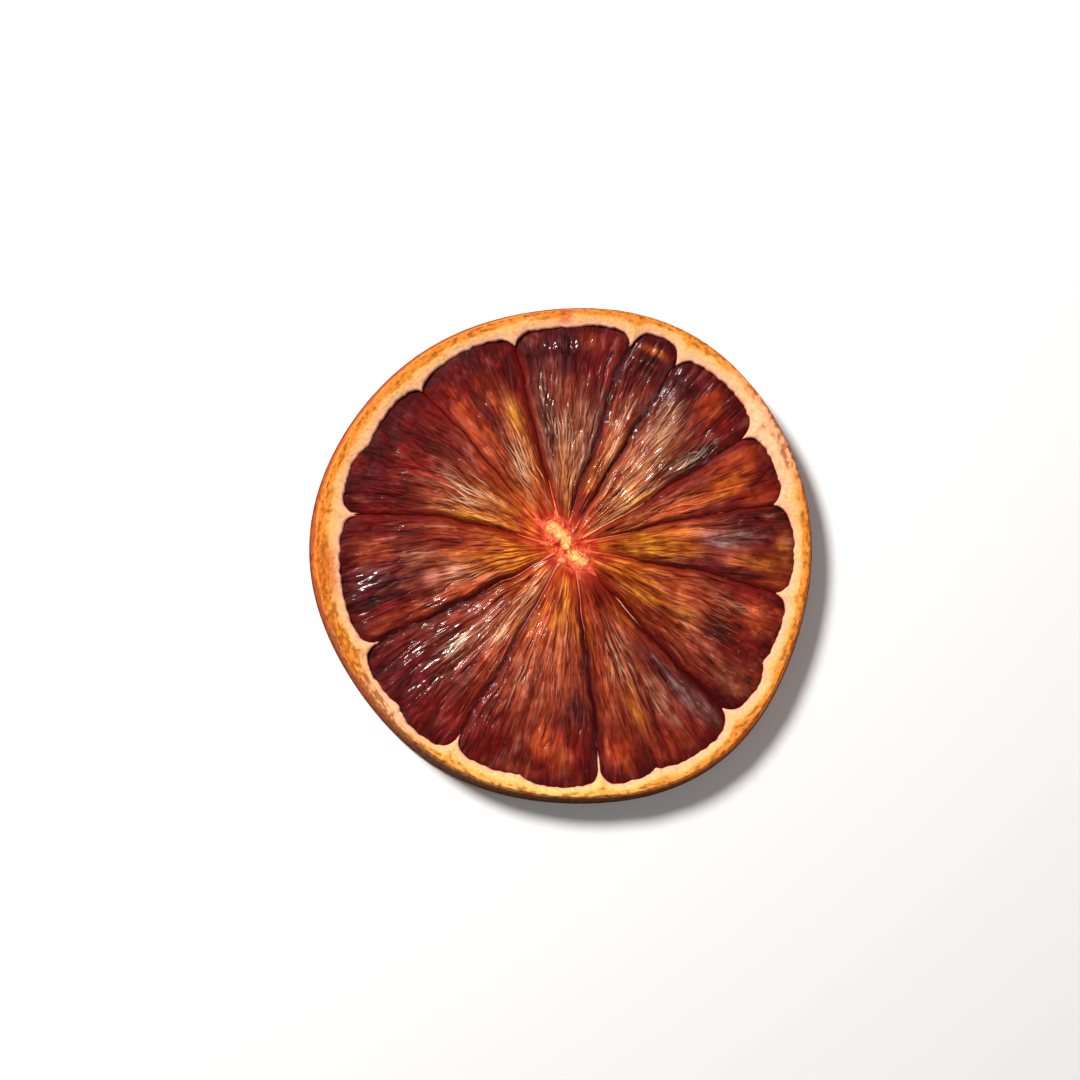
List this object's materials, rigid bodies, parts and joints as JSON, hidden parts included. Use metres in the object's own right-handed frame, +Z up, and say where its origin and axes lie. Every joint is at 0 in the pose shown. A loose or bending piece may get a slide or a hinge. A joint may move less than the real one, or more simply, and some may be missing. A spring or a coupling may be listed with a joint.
{
  "type": "dried blood orange slice",
  "caption": "Round dried citrus slice, cut across the fruit: a raised ring of rind round sunken, ribbed flesh with radial membranes and a pithy core.",
  "frame": {"origin": "on the surface below the middle of the slice's length and width", "axes": "+Z up through the slice, from its wider cut face to the one shown; +X and +Y in the plane of the cut, to the right and to the top as seen from above"},
  "size_m": [0.0602, 0.0594, 0.0049],
  "materials": {
    "flesh": "dried, glossy and leathery",
    "rind": "dried peel, fine pebbled grain",
    "pith": "dry and matt",
    "membrane": "dried skin, satin",
    "core": "dried pith, satin"
  },
  "bodies": {
    "root": {"dried_slice": "flesh"}
  },
  "joints": []
}
